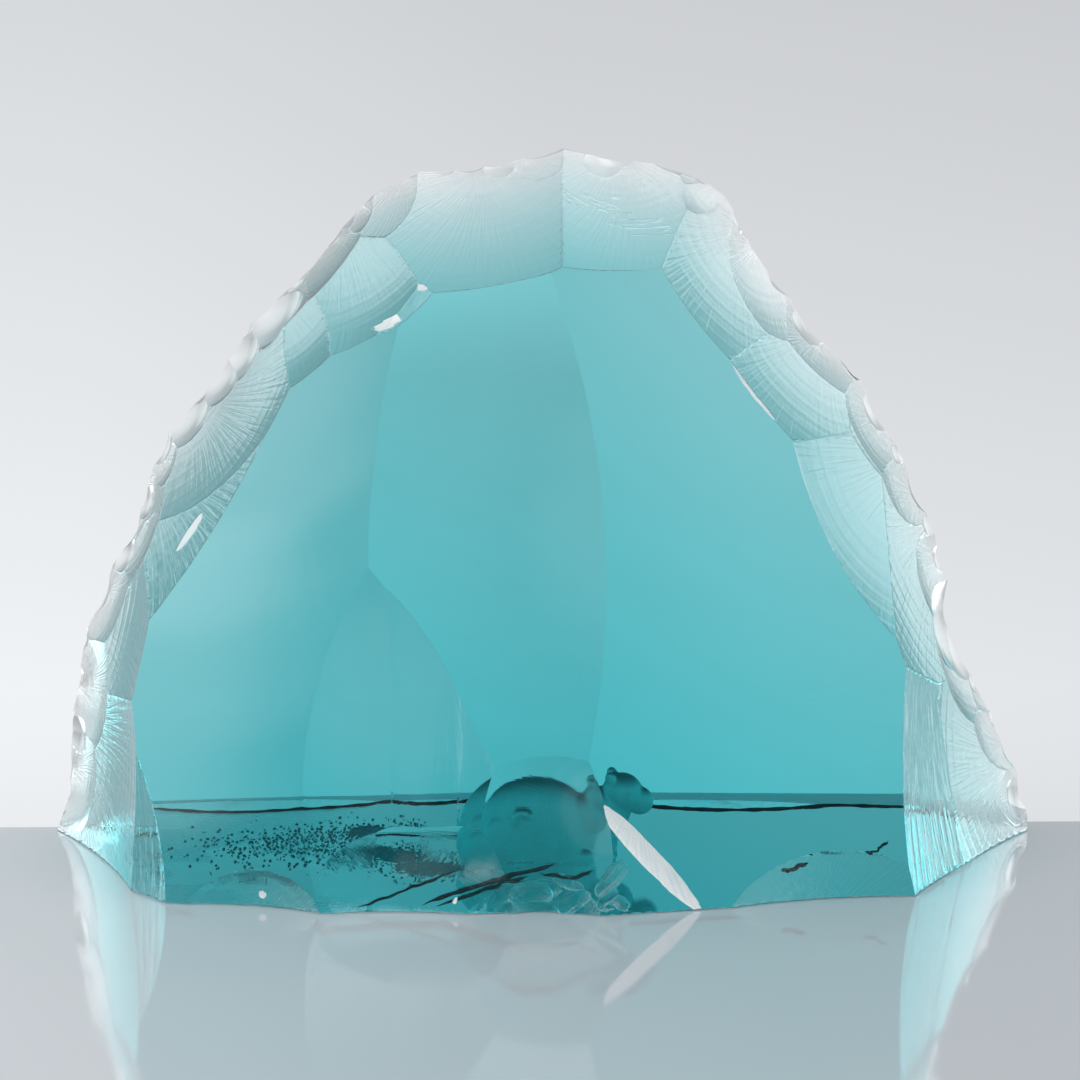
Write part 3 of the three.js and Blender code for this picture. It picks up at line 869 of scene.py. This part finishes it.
def finish_material(name):
    material = bpy.data.materials.new(name)
    material.use_nodes = True
    tree = material.node_tree
    return material, tree, tree.nodes["Principled BSDF"]


def glass_material(name):
    material, tree, body = finish_material(name)
    body.inputs["Base Color"].default_value = (1, 1, 1, 1)
    body.inputs["IOR"].default_value = 1.5
    body.inputs["Transmission Weight"].default_value = 1
    drink = node(tree, "VolumeAbsorption", [("Color", (0, 0.77, 0.805, 1)), ("Density", 28)])
    tree.links.new(drink.outputs["Volume"], tree.nodes["Material Output"].inputs["Volume"])
    return material, tree, body


def effect_group(name, given, result):
    """Shader node group with named inputs and one value out."""
    group = bpy.data.node_groups.new(name, "ShaderNodeTree")
    for socket, kind in given:
        group.interface.new_socket(socket, in_out="INPUT", socket_type="NodeSocket" + kind)
    group.interface.new_socket(result, in_out="OUTPUT", socket_type="NodeSocketFloat")
    return group, group.nodes.new("NodeGroupInput").outputs, group.nodes.new("NodeGroupOutput").inputs


# Grain of blasted and ground glass, shared by the frosted finishes
ground_grain, given, result = effect_group(
    "ground_grain", [("Place", "Vector"), ("Scale", "Float"), ("Detail", "Float")], "Grain")
grains = noise_of(ground_grain, given["Place"], given["Scale"], given["Detail"])
ground_grain.links.new(grains, result["Grain"])

# Streaks that run away from a blow, shared by the clear scars and the white painted-highlight flakes
struck_streaks, given, result = effect_group(
    "struck_streaks", [("Ray", "Float"), ("Ring", "Float"), ("Detail", "Float")], "Streak")
along = node(struck_streaks, "CombineXYZ", [("X", given["Ray"]), ("Y", given["Ring"])]).outputs["Vector"]
streaks = noise_of(struck_streaks, along, 1.0, given["Detail"])
struck_streaks.links.new(streaks, result["Streak"])


def grain_of(tree, scale, detail):
    links = [("Place", object_place(tree)), ("Scale", scale), ("Detail", detail)]
    return node(tree, "Group", links, node_tree=ground_grain).outputs["Grain"]


def streaks_of(tree, round_blow, from_blow, detail):
    ray = product(tree, stored(tree, "ray"), round_blow)
    ring = product(tree, stored(tree, "ring"), from_blow)
    links = [("Ray", ray), ("Ring", ring), ("Detail", detail)]
    return node(tree, "Group", links, node_tree=struck_streaks).outputs["Streak"]


# Clear glass: streaks and fine rings from each blow, worn ridges, and an underside scuffed on the left
RIPPLED_BELOW = 1.5
aqua, tree, body = glass_material("aqua_glass")
place = object_place(tree)
spot = node(tree, "SeparateXYZ", [("Vector", place)])
ring, hackle = stored(tree, "ring"), stored(tree, "hackle")
streaks = spread(tree, streaks_of(tree, 36.0, 55.0, 3.0), 0.42, 0.72)
relief = product(tree, hackle, product(tree, streaks, 0.07))
wander = noise_of(tree, place, 60.0, 2.0)
phase = math_of(tree, "ADD", product(tree, ring, 2600.0), product(tree, wander, 9.0))
ripple = product(tree, math_of(tree, "SINE", phase), 0.007)
rippled = product(tree, math_of(tree, "LESS_THAN", hackle, RIPPLED_BELOW), product(tree, hackle, ripple))
relief = math_of(tree, "ADD", relief, rippled)
flutter = product(tree, noise_of(tree, place, 500.0, 1.0), 0.2)
worn_ridge = product(tree, product(tree, hackle, stored(tree, "ridge")), flutter)
relief = math_of(tree, "ADD", relief, worn_ridge)
underside = math_of(tree, "LESS_THAN", spot.outputs["Z"], 0.02 * MM)
leftward = spread(tree, spot.outputs["X"], -0.03, -0.06)
scuffs = product(tree, leftward, spread(tree, noise_of(tree, place, 22.0, 2.0), 0.42, 0.5))
worn = product(tree, underside, math_of(tree, "ADD", product(tree, scuffs, 0.4), 0.04))
relief = math_of(tree, "ADD", relief, product(tree, worn, product(tree, grain_of(tree, 900.0, 2.0), 0.5)))
feed(tree, body, Normal=bump_of(tree, relief, MM), Roughness=worn)

# Frost of the pocket, with painted shade: its colour goes dark where the wall faces down, along the top of
# the bear's back
frost, tree, body = finish_material("blasted_pocket_painted_shade")
back = spread(tree, stored(tree, "painted_top_shade"), 0.3, 0.9, interpolation_type="SMOOTHSTEP")
shade = colour_of(tree, back, (0.22, 0.8, 0.82, 1), (0.0, 0.15, 0.17, 1))
grains = grain_of(tree, 2500.0, 2.0)
tint = colour_of(tree, 1.0, shade, spread(tree, grains, 0.0, 1.0, 0.8, 1.15), blend_type="MULTIPLY")
feed(tree, body, Base_Color=tint, Normal=bump_of(tree, grains, 0.08 * MM))
body.inputs["Roughness"].default_value = 0.85

# Painted highlight: flat white, streaked along each blow, for the glints on the small flakes
painted_glint, tree, body = finish_material("painted_glint_white")
streaks = streaks_of(tree, 30.0, 120.0, 2.0)
tint = colour_of(tree, spread(tree, streaks, 0.3, 0.7), (0.72, 0.86, 0.89, 1), (0.97, 0.98, 0.98, 1))
feed(tree, body, Base_Color=tint, Normal=bump_of(tree, streaks, 0.2 * MM))
body.inputs["Roughness"].default_value = 0.4

# Fissures in painted shade: flat dark teal on their walls stands in for the shade inside the cracks, where no
# light comes out
painted_crack_shade, tree, body = finish_material("fissure_painted_shade")
tint = colour_of(tree, grain_of(tree, 400.0, 2.0), (0.004, 0.03, 0.035, 1), (0.02, 0.1, 0.11, 1))
feed(tree, body, Base_Color=tint)
body.inputs["Roughness"].default_value = 1
body.inputs["Specular IOR Level"].default_value = 0

# Pits and hollows of the underside, ground, in painted shade: mottled dark teal for the dark the underside
# shows over the table's shadow
painted_underside_shade, tree, body = finish_material("underside_pit_painted_shade")
shade_mottle = spread(tree, grain_of(tree, 1100.0, 3.0), 0.4, 0.62)
feed(tree, body, Base_Color=colour_of(tree, shade_mottle, (0.0, 0.14, 0.16, 1), (0.01, 0.3, 0.33, 1)))
body.inputs["Roughness"].default_value = 0.8

block.data.materials.clear()
for material in (aqua, frost, painted_glint, painted_crack_shade, painted_underside_shade):
    block.data.materials.append(material)
block.data.polygons.foreach_set("material_index", finishes.astype(np.int32))

# Frosted glass of the bear
frosted, tree, body = glass_material("frosted_glass")
grains = grain_of(tree, 1800.0, 3.0)
frosting = spread(tree, grains, 0.3, 0.7, 0.42, 0.58)
feed(tree, body, Roughness=frosting, Normal=bump_of(tree, grains, 0.06 * MM))
bear.data.materials.clear()
bear.data.materials.append(frosted)

# Table, just below the glass, with its back edge close behind it
TABLE_SIZE = (6, 3, 0.04)
TABLE_DROP = 0.3 * MM
TABLE_BACK = 58 * MM
TABLE_SLANT = 1.5
start_fresh()
bpy.ops.mesh.primitive_cube_add(size=1, location=(0, -TABLE_SIZE[1] / 2, -TABLE_SIZE[2] / 2 - TABLE_DROP))
table = bpy.context.object
table.name = "table"
table.scale = TABLE_SIZE
bpy.ops.object.transform_apply(location=True, rotation=True, scale=True)
table.rotation_euler.z = math.radians(TABLE_SLANT)
table.location.y = TABLE_BACK
bpy.ops.object.transform_apply(location=True, rotation=True, scale=True)
lacquer, tree, body = finish_material("pale_table_painted_light")
# Painted light: the table's colour grows lighter towards the left, under the softbox
across = node(tree, "SeparateXYZ", [("Vector", object_place(tree))]).outputs["X"]
leftward = spread(tree, across, 0.06, -0.14)
feed(tree, body, Base_Color=colour_of(tree, leftward, (0.63, 0.67, 0.71, 1), (0.78, 0.82, 0.86, 1)))
body.inputs["Roughness"].default_value = 0.06
table.data.materials.append(lacquer)

# Backdrop: brightness by height and from side to side, each against a direction from -1 to 1
SKY = [(-1, 0.68), (-0.6, 0.72), (-0.43, 0.82), (-0.37, 0.77), (-0.32, 0.72), (-0.24, 0.66), (-0.205, 0.79),
       (-0.19, 0.82), (-0.16, 0.77), (-0.07, 0.63), (0.1, 0.56), (0.4, 0.55), (1, 0.9)]
SKY_TINT = (0.975, 1, 1.03)
WIDE = [(-0.6, 0.85), (-0.4, 0.9), (-0.2, 1.12), (-0.08, 1.1), (0, 1), (0.2, 0.93), (0.4, 0.75), (0.6, 0.7)]
WIDE_TINT = (1, 1, 1)

# Soft round lights in the room: turn and rise in degrees, inner and outer angle, and level
LIGHTS = [
    (-33, 25, 1, 6.8, 2.2), (-33, 31, 1, 6.8, 2.2), (0, 80, 8, 24, 4), (-95, 30, 5, 37, 3.8),
    (95, 30, 5, 37, 3.8), (-132, 4, 6, 18, 2.2), (132, 4, 6, 18, 2.2), (-65, 8, 8, 34, 1.6),
    (65, 8, 8, 34, 1.6), (-14, 28, 3, 13, 0.9),
]
world = bpy.data.worlds.new("studio")
bpy.context.scene.world = world
world.use_nodes = True
studio = world.node_tree
studio.nodes.clear()
towards = node(studio, "TexCoord").outputs["Generated"]
axes = node(studio, "SeparateXYZ", [("Vector", towards)]).outputs


def backdrop_ramp(direction, stops, tint):
    """Colour ramp along one direction of the room."""
    ramp = node(studio, "ValToRGB", [("Fac", spread(studio, direction, -1, 1))])
    elements = ramp.color_ramp.elements
    while len(elements) < len(stops):
        elements.new(0.5)
    for element, (place, level) in zip(elements, stops):
        element.position = (place + 1) / 2
        element.color = (level * tint[0], level * tint[1], level * tint[2], 1)
    return ramp.outputs["Color"]


def soft_light(turn, rise, inner, outer, level):
    """Round soft light in the room, full inside the inner angle and gone at the outer one."""
    angle = node(studio, "VectorMath", [(0, towards), (1, facing_of(turn, rise))], operation="DOT_PRODUCT")
    gone, full = math.cos(math.radians(outer)), math.cos(math.radians(inner))
    fall = spread(studio, angle.outputs["Value"], gone, full, 0.0, level, interpolation_type="SMOOTHSTEP")
    return node(studio, "Background", [("Strength", fall)]).outputs["Background"]


backdrop = backdrop_ramp(axes["Z"], SKY, SKY_TINT)
room = spread(studio, axes["Y"], -0.3, 0.1, 0.25, 1)
level = product(studio, backdrop_ramp(axes["X"], WIDE, WIDE_TINT), room)
lit = node(studio, "Background", [("Color", backdrop), ("Strength", level)]).outputs["Background"]
for light in LIGHTS:
    lit = node(studio, "AddShader", [(0, lit), (1, soft_light(*light))]).outputs["Shader"]
fill = node(studio, "Background", [("Color", (0.97, 0.99, 1, 1)), ("Strength", 0.7)]).outputs["Background"]
path = node(studio, "LightPath").outputs
seen = math_of(studio, "MAXIMUM", path["Is Camera Ray"], path["Is Glossy Ray"])
seen = math_of(studio, "MAXIMUM", seen, path["Is Transmission Ray"])
shown = node(studio, "MixShader", [("Fac", seen), (1, fill), (2, lit)]).outputs["Shader"]
node(studio, "OutputWorld", [("Surface", shown)])

# Softbox to the left, in front and above
bpy.ops.object.light_add(type="AREA", location=(-0.95, -1.05, 0.9))
key = bpy.context.object
key.data.shape = "RECTANGLE"
key.data.size = 0.8
key.data.size_y = 0.7
key.data.energy = 4
key.rotation_euler = (CAMERA_AIM - key.location).to_track_quat("-Z", "Y").to_euler()
key.visible_glossy = False
key.visible_transmission = False

# Camera
bpy.ops.object.camera_add()
camera = bpy.context.object
pitch = math.radians(CAMERA_PITCH)
camera.location = CAMERA_AIM + CAMERA_DISTANCE * Vector((0, -math.cos(pitch), math.sin(pitch)))
camera.rotation_euler = (math.radians(90) - pitch, 0, 0)
camera.data.sensor_width = 36
camera.data.lens = CAMERA_LENS
camera.data.clip_end = 20
bpy.context.scene.camera = camera

bpy.context.scene.view_settings.view_transform = "Standard"
